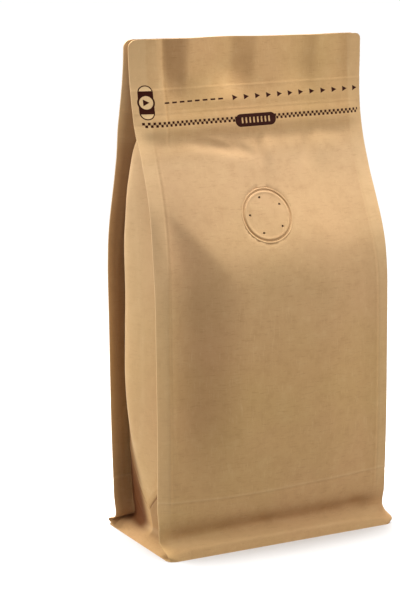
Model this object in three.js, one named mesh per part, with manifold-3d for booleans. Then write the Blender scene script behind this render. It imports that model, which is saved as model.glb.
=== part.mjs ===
// A filled kraft coffee bag with a flat bottom, side gussets and a one-way valve.
//
// Units are millimetres and +Z is up. The bag stands on z = 0, the front panel
// faces -Y, and the origin is the middle of the base.
//
// The bag is one closed solid, lofted through closed horizontal sections. Each
// section runs along the front panel, round the right gusset, back along the
// rear panel and round the left gusset. The valve is a thin plate of its own,
// set in a shallow round seat in the front panel.

import * as THREE from 'three';
import Module from 'manifold-3d';
import { mergeVertices } from 'three/addons/utils/BufferGeometryUtils.js';

// ---------------------------------------------------------------- dimensions

const PANEL_WIDTH = 135;        // front and rear panels, side seals included
const HEIGHT = 262;             // standing height
const BASE_DEPTH = 76;          // front to back over the bottom lips

const BODY_HALF_DEPTH = 31;     // side seals, from the middle plane to the panel
const BODY_BULGE_DEPTH = 35;    // middle of the panels, filled
const TOP_HALF_GAP = 3;         // at the top corners, over the folded gusset
const TOP_HALF_SEAL = 0.9;      // at the middle of the sealed top edge
const SHOULDER_LOW = 132;       // the shoulders run from here ...
const SHOULDER_SEAL = 252;      // ... to here along the middle of the panels
const FOOT_TAPER = 2.6;         // the panels draw in by this much at the foot
const FOOT_TAPER_HEIGHT = 60;

// The header leans back: height above the base, and set back of its plane.
const SET_BACK = [
  [HEIGHT, 0.8], [250, 1.4], [226, 3.8], [207, 5.2], [190, 4.4], [172, 2.8], [150, 1],
  [125, 0.3], [100, 0.2], [0, 0],
];
const HEADER_BOW = 5;           // its middle bows forwards by this much
const HEADER_LOW = 165;
const HEADER_FULL = 228;
const HEADER_TWIST = 3.2;       // and its right side turns back by this much
const TWIST_LOW = 152;
const TWIST_FULL = 194;

const TOP_CORNER_RADIUS = 5;
const BASE_CORNER_RADIUS = 5;
const BASE_CORNER_REST = 2;     // straight edge between the corner and the gusset

const SEAL_FREE_WIDTH = 10.5;   // panel edge that stands free of the gusset
const SEAL_THICKNESS = 1.2;
const FRONT_LEFT_CURL = 4.2;    // the front left seal curls back the most
const OTHER_CURL = 0.4;

// The bottom lip stands out in full up to its low height, and dies away at its
// high one. Each is given at the middle of a panel and at the corners.
const LIP_LOW = [2.5, 0];
const LIP_HIGH = [11, 6.5];

const GUSSET_CREASE_RADIUS = 4;
const LEDGE_HEIGHT = 3;         // the side lip is a low ledge
const LEDGE_INSET = 7;
const LEDGE_DRAW_IN = 3;        // its inner edge draws in towards the seals
const WEB_APEX_HEIGHT = 18;     // the slanted corner seals meet here
const WEB_SEAL_HEIGHT = 46;     // and reach the side seals here
const WEB_FADE_HEIGHT = 72;

// Gusset crease: height above the base, and distance from the middle plane.
const GUSSET_CREASE = [
  [HEIGHT, 37.5], [251, 40], [231, 50], [211, 62.5], [197, 66.7], [178, 69.5],
  [130, 70.6], [83, 71.4], [61, 69.9], [34, 66], [WEB_APEX_HEIGHT, 64.1],
];

const VALVE_X = -2;
const VALVE_Z = 171.7;
const VALVE_RADIUS = 14;
const VALVE_PROUD = 0.3;        // the plate stands this far out of the panel
const VALVE_THICKNESS = 1.0;
const SEAT_GAP = 0.3;           // round and behind the plate
const PIN_HOLES = 5;
const PIN_HOLE_RADIUS = 0.5;
const PIN_CIRCLE_RADIUS = 10;
const PIN_FIRST_ANGLE = 104;    // degrees, from +X up the panel

// Section stations across a panel, as distances from its middle line.
const PANEL_STATIONS = [0, 9, 18, 27, 36, 43, 48.5, 54, 58.5, 63, PANEL_WIDTH / 2];
// Section stations on half a gusset, from the seal (1) to the crease (0).
const GUSSET_STATIONS = [1, 0.78, 0.55, 0.34, 0.17, 0.06, 0];

// Heights of the sections.
const LEVELS = [
  0, 1.5, LEDGE_HEIGHT, 4.4, 5.8, 7.4, 9, 11, 14, 19, 25, 32, 39, WEB_SEAL_HEIGHT,
  52, 58, 65, WEB_FADE_HEIGHT, 86, 101, 116, 129, 140, 149, 157, 164, 170, 176, 182,
  188, 194, 200, 206, 212, 218, 224, 230, 236, 242, 247, 252, 257, 259.2, 260.8, 261.7, HEIGHT,
];

const HALF_WIDTH = PANEL_WIDTH / 2;
const SEAL_LINE = HALF_WIDTH - SEAL_FREE_WIDTH;

// ----------------------------------------------------------------- functions

const clamp01 = (t) => Math.min(1, Math.max(0, t));
const mix = (a, b, t) => a + (b - a) * t;
const smooth = (low, high, v) => {
  const t = clamp01((v - low) / (high - low));
  return t * t * (3 - 2 * t);
};
const cosineRise = (t) => (1 - Math.cos(Math.PI * clamp01(t))) / 2;

// Cubic through [height, value] stations, listed from the top down.
function alongStations(stations, z) {
  const last = stations.length - 1;
  if (z >= stations[0][0]) return stations[0][1];
  if (z <= stations[last][0]) return stations[last][1];
  const i = stations.findIndex((s) => s[0] < z) - 1;
  const slopeAt = (k) => {
    const a = stations[Math.max(k - 1, 0)];
    const b = stations[Math.min(k + 1, last)];
    return (b[1] - a[1]) / (b[0] - a[0]);
  };
  const [z0, v0] = stations[i];
  const [z1, v1] = stations[i + 1];
  const span = z1 - z0;
  const t = (z - z0) / span;
  const t2 = t * t;
  const t3 = t2 * t;
  return v0 * (2 * t3 - 3 * t2 + 1) + slopeAt(i) * span * (t3 - 2 * t2 + t)
    + v1 * (3 * t2 - 2 * t3) + slopeAt(i + 1) * span * (t3 - t2);
}

// Half depth at the side seals: a raised cosine over the shoulders, drawn in
// a little at the foot.
function sealHalfDepth(z) {
  const rise = cosineRise((HEIGHT - z) / (HEIGHT - SHOULDER_LOW));
  return mix(TOP_HALF_GAP, BODY_HALF_DEPTH, rise) - FOOT_TAPER * smooth(FOOT_TAPER_HEIGHT, 8, z);
}

// Half depth along the middle of a panel, which is sealed flat at the top.
function middleHalfDepth(z) {
  const rise = cosineRise((SHOULDER_SEAL - z) / (SHOULDER_SEAL - SHOULDER_LOW));
  const foot = BODY_BULGE_DEPTH - BODY_HALF_DEPTH + FOOT_TAPER;
  return mix(TOP_HALF_SEAL, BODY_BULGE_DEPTH, rise) - foot * smooth(FOOT_TAPER_HEIGHT + 20, 8, z);
}

// Share of the bottom lip's flare: 1 on the floor, 0 above the lip.
function lipShare(x, z) {
  const corner = Math.pow(Math.abs(x) / HALF_WIDTH, 4);
  return 1 - smooth(mix(...LIP_LOW, corner), mix(...LIP_HIGH, corner), z);
}

// The plane midway between the panels.
function middlePlane(x, z) {
  const across = x / HALF_WIDTH;
  const bow = HEADER_BOW * smooth(HEADER_LOW, HEADER_FULL, z) * (1 - across * across);
  const untwist = 0.7 * smooth(215, 258, z);
  const twist = HEADER_TWIST * smooth(TWIST_LOW, TWIST_FULL, z) * (1 - untwist) * across;
  return alongStations(SET_BACK, z) - bow + twist;
}

// Distance of a panel from the middle plane.
function panelHalfDepth(x, z) {
  const towardsSeal = smooth(12, 66, Math.abs(x));
  return mix(middleHalfDepth(z), sealHalfDepth(z), towardsSeal);
}

// Outer face of a panel. The free edge of each side seal curls back a little.
function panelFace(x, z, side) {
  const curl = side < 0 && x < 0 ? FRONT_LEFT_CURL : OTHER_CURL;
  const free = clamp01((Math.abs(x) - SEAL_LINE) / SEAL_FREE_WIDTH);
  const open = smooth(6, 26, z) * (1 - smooth(140, 185, z));
  const wall = middlePlane(x, z) + side * (panelHalfDepth(x, z) - curl * free * free * open);
  return mix(wall, (side * BASE_DEPTH) / 2, lipShare(x, z));
}

// Half width of the panels: full, but for the rounded top corners.
function panelHalfWidth(z) {
  const up = Math.max(0, z - (HEIGHT - TOP_CORNER_RADIUS));
  const radius = TOP_CORNER_RADIUS;
  return HALF_WIDTH - (radius - Math.sqrt(Math.max(0, radius * radius - up * up)));
}

// Points of one panel edge to edge, at |x| beyond the seal line squeezed into
// the rounded top corner, and rounded off at the base corner.
function panelPoint(station, sign, z, side) {
  const beyond = Math.max(0, station - SEAL_LINE);
  const squeeze = (panelHalfWidth(z) - SEAL_LINE) / SEAL_FREE_WIDTH;
  const isTip = station === HALF_WIDTH;
  const floor = 1 - smooth(0, LEDGE_HEIGHT, z);
  const cut = isTip ? floor * BASE_CORNER_RADIUS * (1 - Math.SQRT1_2) : 0;
  const x = sign * (Math.min(station, SEAL_LINE) + beyond * squeeze - cut);
  return [x, panelFace(x, z, side) - side * cut, z];
}

// Height of a gusset point: the section dips at the crease, so that one row
// of points runs along the slanted corner seals.
function gussetHeight(level, share) {
  const dipped = mix(WEB_APEX_HEIGHT, WEB_SEAL_HEIGHT, share);
  if (level >= WEB_FADE_HEIGHT || level <= LEDGE_HEIGHT) return level;
  if (level >= WEB_SEAL_HEIGHT) {
    const t = (level - WEB_SEAL_HEIGHT) / (WEB_FADE_HEIGHT - WEB_SEAL_HEIGHT);
    return mix(dipped, WEB_FADE_HEIGHT, t);
  }
  return mix(LEDGE_HEIGHT, dipped, (level - LEDGE_HEIGHT) / (WEB_SEAL_HEIGHT - LEDGE_HEIGHT));
}

// Distance of the upper gusset from the middle: out to the crease, along a
// hyperbola, so that the crease is softly rounded.
function gussetReach(y, z, halfDepth) {
  const radius = Math.min(GUSSET_CREASE_RADIUS, halfDepth * 0.15);
  const arm = (v) => Math.sqrt(v * v + radius * radius) - radius;
  return mix(alongStations(GUSSET_CREASE, z), SEAL_LINE, clamp01(arm(y) / arm(halfDepth)));
}

// One point of a gusset. share runs from 1 at the side seal to 0 at the crease,
// and side is -1 on the front half and 1 on the rear half.
function gussetPoint(level, share, side, sign) {
  const z = gussetHeight(level, share);
  const seal = panelFace(sign * SEAL_LINE, z, side);
  const halfDepth = Math.abs(seal - middlePlane(sign * SEAL_LINE, z)) - SEAL_THICKNESS;
  let y = share * halfDepth;
  let reach = gussetReach(y, z, halfDepth);
  if (level < WEB_SEAL_HEIGHT) {
    const sealHeight = gussetHeight(WEB_SEAL_HEIGHT, share);
    const sealReach = gussetReach(y, sealHeight, halfDepth);
    const ledgeReach = HALF_WIDTH - LEDGE_INSET - LEDGE_DRAW_IN * share;
    const up = clamp01((z - LEDGE_HEIGHT) / (sealHeight - LEDGE_HEIGHT));
    reach = mix(ledgeReach, sealReach, up);
  }
  if (level < LEDGE_HEIGHT) {
    const floor = 1 - level / LEDGE_HEIGHT;
    reach = mix(reach, HALF_WIDTH, floor);
    y = mix(y, share * (BASE_DEPTH / 2 - BASE_CORNER_RADIUS - BASE_CORNER_REST), floor);
  }
  return [sign * reach, middlePlane(sign * reach, z) + side * y, z];
}

// Back of a side seal's free edge, which closes on the lip near the floor.
function sealBack(level, side, sign) {
  const [x, y, z] = panelPoint(HALF_WIDTH, sign, level, side);
  const floor = 1 - smooth(0, LEDGE_HEIGHT, level);
  const cut = BASE_CORNER_RADIUS * (1 - Math.SQRT1_2);
  return [x + sign * floor * cut, y - side * mix(SEAL_THICKNESS, BASE_CORNER_RADIUS - cut, floor), z];
}

// One closed section, anticlockwise from above, from the front left seal.
function section(level) {
  const rightwards = [...PANEL_STATIONS.slice(1).reverse().map((s) => [s, -1]),
    ...PANEL_STATIONS.map((s) => [s, 1])];
  const leftwards = rightwards.map(([s, sign]) => [s, -sign]);
  const towardsCrease = GUSSET_STATIONS.map((share) => [share, -1]);
  const awayFromCrease = GUSSET_STATIONS.slice(0, -1).reverse().map((share) => [share, 1]);
  const frontToRear = [...towardsCrease, ...awayFromCrease];
  const rearToFront = frontToRear.map(([share, side]) => [share, -side]);
  return [
    ...rightwards.map(([s, sign]) => panelPoint(s, sign, level, -1)),
    sealBack(level, -1, 1),
    ...frontToRear.map(([share, side]) => gussetPoint(level, share, side, 1)),
    sealBack(level, 1, 1),
    ...leftwards.map(([s, sign]) => panelPoint(s, sign, level, 1)),
    sealBack(level, 1, -1),
    ...rearToFront.map(([share, side]) => gussetPoint(level, share, side, -1)),
    sealBack(level, -1, -1),
  ];
}

// Indexed geometry from vertices and triangles.
function geometryFrom(points, triangles) {
  const geometry = new THREE.BufferGeometry();
  geometry.setAttribute('position', new THREE.Float32BufferAttribute(points.flat(), 3));
  geometry.setIndex(triangles.flat());
  return geometry;
}

// Closed loft through the sections, with a flat cap at each end.
function bagLoft() {
  const sections = LEVELS.map(section);
  const count = sections[0].length;
  const triangles = [];
  for (let row = 0; row + 1 < sections.length; row += 1) {
    for (let i = 0; i < count; i += 1) {
      const j = (i + 1) % count;
      const a = row * count + i;
      const b = row * count + j;
      triangles.push([a, b, b + count], [a, b + count, a + count]);
    }
  }
  const cap = (points) => THREE.ShapeUtils.triangulateShape(
    points.map(([x, y]) => new THREE.Vector2(x, y)), []);
  const topStart = (sections.length - 1) * count;
  for (const [a, b, c] of cap(sections[0])) triangles.push([c, b, a]);
  for (const [a, b, c] of cap(sections[sections.length - 1])) {
    triangles.push([a + topStart, b + topStart, c + topStart]);
  }
  return geometryFrom(sections.flat(), triangles);
}

// A point of the front panel, by its distance and angle from the valve's middle
// as measured on the sloping paper.
function roundValve(radius, angle) {
  const rise = panelFace(VALVE_X, VALVE_Z + 1, -1) - panelFace(VALVE_X, VALVE_Z - 1, -1);
  const x = VALVE_X + radius * Math.cos(angle);
  const z = VALVE_Z + (radius * Math.sin(angle)) / Math.hypot(1, rise / 2);
  return [x, panelFace(x, z, -1), z];
}

// A round plate that follows the front panel, from `outer` mm in front of it
// to `inner` mm behind it.
function frontPlate(radius, outer, inner) {
  const rings = 5;
  const spokes = 40;
  const points = [];
  const triangles = [];
  for (const offset of [outer, -inner]) {
    for (let ring = 0; ring <= rings; ring += 1) {
      for (let k = 0; k < (ring === 0 ? 1 : spokes); k += 1) {
        const [x, y, z] = roundValve((radius * ring) / rings, (2 * Math.PI * k) / spokes);
        points.push([x, y - offset, z]);
      }
    }
  }
  const faceSize = 1 + rings * spokes;
  const at = (face, ring, k) => (ring === 0 ? face * faceSize
    : face * faceSize + 1 + (ring - 1) * spokes + (k % spokes));
  for (let k = 0; k < spokes; k += 1) {
    triangles.push([at(0, 0, 0), at(0, 1, k), at(0, 1, k + 1)]);
    triangles.push([at(1, 0, 0), at(1, 1, k + 1), at(1, 1, k)]);
    for (let ring = 1; ring < rings; ring += 1) {
      triangles.push([at(0, ring, k), at(0, ring + 1, k), at(0, ring + 1, k + 1)]);
      triangles.push([at(0, ring, k), at(0, ring + 1, k + 1), at(0, ring, k + 1)]);
      triangles.push([at(1, ring, k), at(1, ring + 1, k + 1), at(1, ring + 1, k)]);
      triangles.push([at(1, ring, k), at(1, ring, k + 1), at(1, ring + 1, k + 1)]);
    }
    triangles.push([at(0, rings, k), at(1, rings, k), at(1, rings, k + 1)]);
    triangles.push([at(0, rings, k), at(1, rings, k + 1), at(0, rings, k + 1)]);
  }
  return geometryFrom(points, triangles);
}

// ------------------------------------------------------- cutting and joining

const wasm = await Module();
wasm.setup();

function toSolid(geometry) {
  const bare = geometry.clone();
  bare.deleteAttribute('normal');
  bare.deleteAttribute('uv');
  const merged = mergeVertices(bare, 1e-4);
  return new wasm.Manifold(new wasm.Mesh({
    numProp: 3,
    vertProperties: new Float32Array(merged.attributes.position.array),
    triVerts: new Uint32Array(merged.index.array),
  }));
}

function toGeometry(solid) {
  const mesh = solid.getMesh();
  const geometry = new THREE.BufferGeometry();
  geometry.setAttribute('position', new THREE.BufferAttribute(mesh.vertProperties, 3));
  geometry.setIndex(new THREE.BufferAttribute(mesh.triVerts, 1));
  geometry.computeVertexNormals();
  return geometry;
}

// The bag, with the valve's seat cut into its front panel.
function bagGeometry() {
  const behind = VALVE_THICKNESS - VALVE_PROUD + SEAT_GAP;
  const seat = frontPlate(VALVE_RADIUS + SEAT_GAP, 4, behind);
  return toGeometry(toSolid(bagLoft()).subtract(toSolid(seat)));
}

// The valve's plate, with its pin holes.
function valveGeometry() {
  let plate = toSolid(frontPlate(VALVE_RADIUS, VALVE_PROUD, VALVE_THICKNESS - VALVE_PROUD));
  for (let k = 0; k < PIN_HOLES; k += 1) {
    const angle = THREE.MathUtils.degToRad(PIN_FIRST_ANGLE + (360 * k) / PIN_HOLES);
    const pin = new THREE.CylinderGeometry(PIN_HOLE_RADIUS, PIN_HOLE_RADIUS, 8, 8);
    pin.translate(...roundValve(PIN_CIRCLE_RADIUS, angle));
    plate = plate.subtract(toSolid(pin));
  }
  return toGeometry(plate);
}

// --------------------------------------------------------------------- model

const kraft = new THREE.MeshStandardMaterial({ color: '#b8925f', roughness: 0.72, metalness: 0 });
const kraftPlate = new THREE.MeshStandardMaterial({ color: '#c29d6c', roughness: 0.7, metalness: 0 });

function piece(name, geometry, material) {
  const mesh = new THREE.Mesh(geometry, material);
  mesh.name = name;
  return mesh;
}

const coffeeBag = new THREE.Group();
coffeeBag.add(piece('bag', bagGeometry(), kraft));
coffeeBag.add(piece('valve', valveGeometry(), kraftPlate));

export default coffeeBag;
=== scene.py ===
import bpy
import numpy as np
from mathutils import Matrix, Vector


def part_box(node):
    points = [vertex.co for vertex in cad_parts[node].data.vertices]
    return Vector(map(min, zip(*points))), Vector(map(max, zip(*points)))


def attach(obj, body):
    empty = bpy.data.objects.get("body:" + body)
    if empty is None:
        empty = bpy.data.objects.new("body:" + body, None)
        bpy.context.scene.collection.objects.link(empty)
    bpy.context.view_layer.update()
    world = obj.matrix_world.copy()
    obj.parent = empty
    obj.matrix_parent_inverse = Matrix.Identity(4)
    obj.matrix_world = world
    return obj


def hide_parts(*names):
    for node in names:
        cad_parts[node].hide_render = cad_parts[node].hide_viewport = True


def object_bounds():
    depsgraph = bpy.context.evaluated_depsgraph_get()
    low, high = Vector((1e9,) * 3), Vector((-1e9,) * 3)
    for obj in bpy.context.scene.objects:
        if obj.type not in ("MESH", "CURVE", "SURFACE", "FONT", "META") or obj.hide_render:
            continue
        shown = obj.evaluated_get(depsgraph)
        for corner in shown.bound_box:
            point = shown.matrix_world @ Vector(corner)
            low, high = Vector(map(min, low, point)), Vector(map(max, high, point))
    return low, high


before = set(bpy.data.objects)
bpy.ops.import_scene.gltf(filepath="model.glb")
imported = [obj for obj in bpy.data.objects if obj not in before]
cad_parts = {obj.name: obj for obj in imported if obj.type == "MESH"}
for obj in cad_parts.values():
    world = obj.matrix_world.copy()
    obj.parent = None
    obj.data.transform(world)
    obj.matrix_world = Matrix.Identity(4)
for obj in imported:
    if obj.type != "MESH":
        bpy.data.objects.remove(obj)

# %% [markdown]
# # A kraft coffee bag
#
# This lesson dresses the plain solids of a filled coffee bag. The real bag is a
# stiff laminate of brown kraft paper over film, formed into a box with a flat
# bottom, pleated sides and a flat header that holds a press zip and a tear strip.
#
# Everything below is worked out in millimetres, with +Z up, the front panel
# facing -Y and the origin in the middle of the base. Blender wants metres, so
# `MM` scales a surface once, when it becomes a mesh.

MM = 0.001

cad_low, cad_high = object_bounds()
HEIGHT = cad_high.z / MM
BASE_DEPTH = (cad_high.y - cad_low.y) / MM
CREASE_REACH = cad_high.x / MM  # the gusset creases are the widest places

valve_low, valve_high = (Vector(corner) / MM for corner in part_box("valve"))
VALVE_X = (valve_low.x + valve_high.x) / 2
VALVE_Z = (valve_low.z + valve_high.z) / 2
VALVE_RADIUS = (valve_high.x - valve_low.x) / 2

print(f"bag {2 * CREASE_REACH:.1f} x {BASE_DEPTH:.1f} x {HEIGHT:.1f} mm,"
      f" valve {2 * VALVE_RADIUS:.1f} mm across at x {VALVE_X:.1f}, z {VALVE_Z:.1f}")

# %% [markdown]
# ## Shapes as functions
#
# Paper is a sheet, so every surface here is a function of two numbers: how far
# across and how far up. The sheet could be sculpted or simulated instead, but a
# formula keeps each crease where the maker pressed it and gives the same bag on
# every run. A few small functions say almost everything: a straight blend, a soft
# step, half a wave, a hump, and a smooth curve through given stations.

# %% Small functions on arrays
def mix(a, b, share):
    """a where share is 0, b where it is 1, and a straight blend between."""
    return a + (b - a) * share


def soft_step(low, high, value):
    """0 up to low, 1 from high on, and the S of 3t^2 - 2t^3 between them."""
    t = np.clip((value - low) / (high - low), 0, 1)
    return t * t * (3 - 2 * t)


def between(starts, ends, value):
    """1 between two stretches: it grows from 0 over the first and goes back over the second."""
    return soft_step(*starts, value) * (1 - soft_step(*ends, value))


def half_wave(t):
    """0 to 1 along half a cosine wave, flat at both ends."""
    return (1 - np.cos(np.pi * np.clip(t, 0, 1))) / 2


def hump(distance, width):
    """A bell: 1 at distance 0, about a third at the width, nothing far away."""
    return np.exp(-(distance / width) ** 2)


def points_at(x, y, z):
    """Three arrays as one array of points."""
    return np.stack(np.broadcast_arrays(x, y, z), axis=-1)


def through(stations, at):
    """A cubic through [place, value] stations; its slope at each is its neighbours' chord."""
    places, values = np.array(sorted(stations), dtype=float).T
    before = np.maximum(np.arange(len(places)) - 1, 0)
    after = np.minimum(np.arange(len(places)) + 1, len(places) - 1)
    slopes = (values[after] - values[before]) / (places[after] - places[before])
    i = np.clip(np.searchsorted(places, at, side="right") - 1, 0, len(places) - 2)
    span = places[i + 1] - places[i]
    t = np.clip((at - places[i]) / span, 0, 1)
    return (values[i] * (2 * t**3 - 3 * t**2 + 1) + slopes[i] * span * (t**3 - 2 * t**2 + t)
            + values[i + 1] * (3 * t**2 - 2 * t**3) + slopes[i + 1] * span * (t**3 - t**2))


# %% [markdown]
# ## The filled form
#
# The bag is folded from flat panels and then filled, so its form is a compromise:
# full and almost square at the foot, a soft wedge over the shoulders, and nothing
# but two layers of paper at the header. One curve for the side seals and one for
# the middle of a panel give the depth at every height, and the surface runs
# smoothly from one to the other. The header leans and bows, its left strip turns
# back and its top edge waves, because nothing stiffens it but the zip and the
# tear tape. Where a form starts or ends, a pair of places gives the stretch over
# which it does so, for `soft_step` or `between`.

# %% Driving sizes of the form
HALF_WIDTH = 67.5  # half the panel, side seals included
SEAL_WIDTH = 10.5  # panel edge that stands free of the gusset
SEAL_LINE = HALF_WIDTH - SEAL_WIDTH
SEAL_THICKNESS = 0.7

BODY_HALF_DEPTH = 31  # side seals, from the middle plane to the panel
BODY_BULGE_DEPTH = 35  # middle of the panels, filled
TOP_HALF_GAP = 3  # at the top corners, over the folded gusset
TOP_HALF_SEAL = 0.9  # at the middle of the sealed top edge
SHOULDER_LOW = 132
SHOULDER_SEAL = 252
MIDDLE_TO_SEAL = (27, 60)  # x where the panel's depth goes from the middle's to the seal's
FOOT_TAPER = 2.6
FOOT_TAPER_Z = 76
FOOT_TAPER_FULL = 8

SET_BACK = [[HEIGHT, 0.8], [250, 1.4], [226, 3.8], [207, 5.2], [190, 4.4],
            [172, 2.8], [150, 1], [125, 0.3], [100, 0.2], [0, 0]]
HEADER_BOW = 5
BOW_STARTS = (165, 228)
BOW_EASED = 0.95  # share of the bow that is gone at the top edge
HEADER_TWIST = 3.2
TWIST_STARTS = (152, 194)
TWIST_EASES = (215, 258)
TWIST_EASED = 0.7  # share of the twist that is gone at the top edge

TOP_CORNER_RADII = (4.2, 2.8)  # on the left and on the right
TOP_EDGE_DROP = 0.75  # the loose top edge hangs lower on the right
DROP_STARTS_X = (-25, 45)
DROP_STARTS_Z = 238
CORNER_RADIUS = 5
CORNER_REST = 2  # straight edge between the corner and the gusset
FRONT_LEFT_CURL = 4.2  # the front left seal curls back the most
OTHER_CURL = 0.4
CURL_STARTS, CURL_ENDS = (6, 26), (140, 185)
LIP_CORNER_HEIGHT = 0.72  # the lip is lower at the corners, by this factor
LIP_PROFILE = [[0, 1], [2.4, 0.92], [4.4, 0.82], [5.3, 0.7], [6.4, 0.38], [7.5, 0.15],
               [9.2, 0.035], [12.5, 0]]   # height, and share of the flare


# %% Header: the turned strip on the left, and the waves of the loose top edge
# Each station: x, and how far the sheet stands forward there.
HEADER_TURN = [[-67.5, -3.4], [-62, -1.4], [-56, 0], [-52, 0.4], [-50.5, 0.2], [-48, 0], [67.5, 0]]
HEADER_WAVES = [[-67.5, 0], [-54, -0.1], [-50.5, -0.5], [-44, 1.2], [-36, 3.0], [-32, 2.6],
                [-24, 0], [-14, -2.6], [-8, -3.0], [-3, -1.6], [2.5, 0.6], [6, 1.1], [16, 0.8],
                [20, 0.4], [28, -0.9], [33, -1.0], [37, -0.5], [41, 0.3], [44, 0.4], [49, -0.4],
                [54, -0.9], [58, -0.7], [62.5, 0], [67.5, 0.3]]
TURN_STARTS = (200, 222)
WAVES_START = (230, 246)
WAVES_EARLY = 0.75  # share of the waves that grows over that stretch
WAVE_LEAN = 0.12  # the waves lean to the right on their way up
LEAN_STARTS_X = (-46, -36)


def above_tape(z):
    """0 up to the tear tape and 1 at the top edge, with a straight line between."""
    return np.clip((z - WAVES_START[0]) / (HEIGHT - WAVES_START[0]), 0, 1)


def header_wave(x, z):
    """How far the header stands forward: the strip's turn, and waves that grow to the top edge."""
    grown = WAVES_EARLY * soft_step(*WAVES_START, z) + (1 - WAVES_EARLY) * above_tape(z)
    slid = x + WAVE_LEAN * (HEIGHT - z) * soft_step(*LEAN_STARTS_X, x)
    turn = through(HEADER_TURN, x) * soft_step(*TURN_STARTS, z)
    return turn + through(HEADER_WAVES, slid) * grown


# %% The panels' form
def foot_taper(z):
    """0 above the taper and 1 at the lip, growing with the square of the way down."""
    return np.clip((FOOT_TAPER_Z - z) / (FOOT_TAPER_Z - FOOT_TAPER_FULL), 0, 1) ** 2


def seal_half_depth(z):
    """Half a cosine wave from the top corner's gap to the body's depth, less the foot's taper."""
    rise = half_wave((HEIGHT - z) / (HEIGHT - SHOULDER_LOW))
    return mix(TOP_HALF_GAP, BODY_HALF_DEPTH, rise) - FOOT_TAPER * foot_taper(z)


def middle_half_depth(z):
    """The same wave along the panel's middle, which is flat at the seal and bulges below it."""
    rise = half_wave((SHOULDER_SEAL - z) / (SHOULDER_SEAL - SHOULDER_LOW))
    foot = BODY_BULGE_DEPTH - BODY_HALF_DEPTH + FOOT_TAPER
    return mix(TOP_HALF_SEAL, BODY_BULGE_DEPTH, rise) - foot * foot_taper(z)


def middle_plane(x, z):
    """The surface midway between the panels: set back, bowed, turned and wavy in the header."""
    across = x / HALF_WIDTH
    eased = 1 - BOW_EASED * above_tape(z)
    bow = HEADER_BOW * soft_step(*BOW_STARTS, z) * (1 - across**2) * eased
    untwist = TWIST_EASED * soft_step(*TWIST_EASES, z)
    twist = HEADER_TWIST * soft_step(*TWIST_STARTS, z) * (1 - untwist) * across
    return through(SET_BACK, z) - bow + twist - header_wave(x, z)


def lip_share(x, z):
    """1 on the floor, falling round the lip's crest to 0 above it."""
    corner = (np.abs(x) / HALF_WIDTH) ** 4
    return through(LIP_PROFILE, z / mix(1, LIP_CORNER_HEIGHT, corner))


def plain_panel(x, z, side):
    """y of a panel without its relief. side is -1 for the front and 1 for the rear."""
    depth = mix(middle_half_depth(z), seal_half_depth(z), soft_step(*MIDDLE_TO_SEAL, np.abs(x)))
    curl = np.where((side < 0) & (x < 0), FRONT_LEFT_CURL, OTHER_CURL)
    free = np.clip((np.abs(x) - SEAL_LINE) / SEAL_WIDTH, 0, 1)
    curl = curl * free**2 * between(CURL_STARTS, CURL_ENDS, z)
    wall = middle_plane(x, z) + side * (depth - curl)
    return mix(wall, side * BASE_DEPTH / 2, lip_share(x, z))


print(f"half depth at z 60: seal {seal_half_depth(60.0):.1f}, middle {middle_half_depth(60.0):.1f} mm")

# %% [markdown]
# ## Relief in the paper
#
# What tells paper from card is its relief: the heat-sealed edges, the lines that
# the zip and the tear tape press through the header, the dents where the stiff
# zip meets the filled body, the flank that has sunk in below the left shoulder,
# and a faint cockle all over. Each is a height in millimetres, outwards from the
# panel, and they simply add up. Most are a hump across a line: a height, the
# distance from the line, and a width. A bump map would be cheaper, but then the
# exported mesh would be smooth.

# %% Cockle: many low waves added up
def cockle(u, v, longest, shortest, waves, seed):
    """A sum of sine waves in random directions, their heights in step with their lengths."""
    draw = np.random.default_rng(seed)
    total = np.zeros(np.broadcast(u, v).shape)
    for length in np.geomspace(longest, shortest, waves):
        turn, phase = draw.uniform(0, 2 * np.pi, 2)
        along = u * np.cos(turn) + v * np.sin(turn)
        total += length / longest * np.sin(2 * np.pi * along / length + phase)
    return total / np.sqrt(waves)


# %% Header: the line beside the folded gusset
GUSSET_FOLD_X = [[HEIGHT, -50.3], [237.8, -51.1], [210.6, -51.9]]


def header_relief(x, z):
    """The pressed line along the folded gusset's edge, inside the header."""
    fold = x - through(GUSSET_FOLD_X, z)
    return -0.3 * hump(fold - 0.7, 0.7) * soft_step(206, 214, z)


# %% Zip and tear tape
TAPE_HIGH = 237.7
TAPE_LOW = 225.4
TAPE_RISE = 0.1
TAPE_LINE_RISE = 0.06
ZIP_Z = 219.6
ZIP_CLIMB = 0.0085  # the header stands slightly askew, so its bands climb to the right
TRACK_RISE = 0.55
TRACK_STARTS, TRACK_ENDS = (212.5, 217), (221.5, 227)
TRACK_ENDS_X = (67, 60)
HOLLOW_Z = 211  # the paper draws in below the zip
HOLLOW_DEPTH = 1.1
HOLLOW_ENDS_X = (70, 48)


def zip_relief(x, z):
    """A thin tape between two pressed lines, the zip's low double track and the hollow below it."""
    level = z - ZIP_CLIMB * x
    edge = TAPE_RISE * soft_step(TAPE_HIGH + 0.4, TAPE_HIGH - 0.4, level)
    tape = edge * soft_step(TAPE_LOW - 0.5, TAPE_LOW + 0.5, level)
    lines = hump(level - TAPE_HIGH + 0.6, 0.5) + hump(level - TAPE_LOW - 0.4, 0.5)
    track = TRACK_RISE * between(TRACK_STARTS, TRACK_ENDS, level) * soft_step(*TRACK_ENDS_X, np.abs(x))
    groove = -0.12 * hump(level - ZIP_Z - 0.1, 0.7)
    hollow = -HOLLOW_DEPTH * hump(level - HOLLOW_Z, 4.2) * soft_step(*HOLLOW_ENDS_X, np.abs(x))
    return tape + TAPE_LINE_RISE * lines + track + groove + hollow


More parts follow.
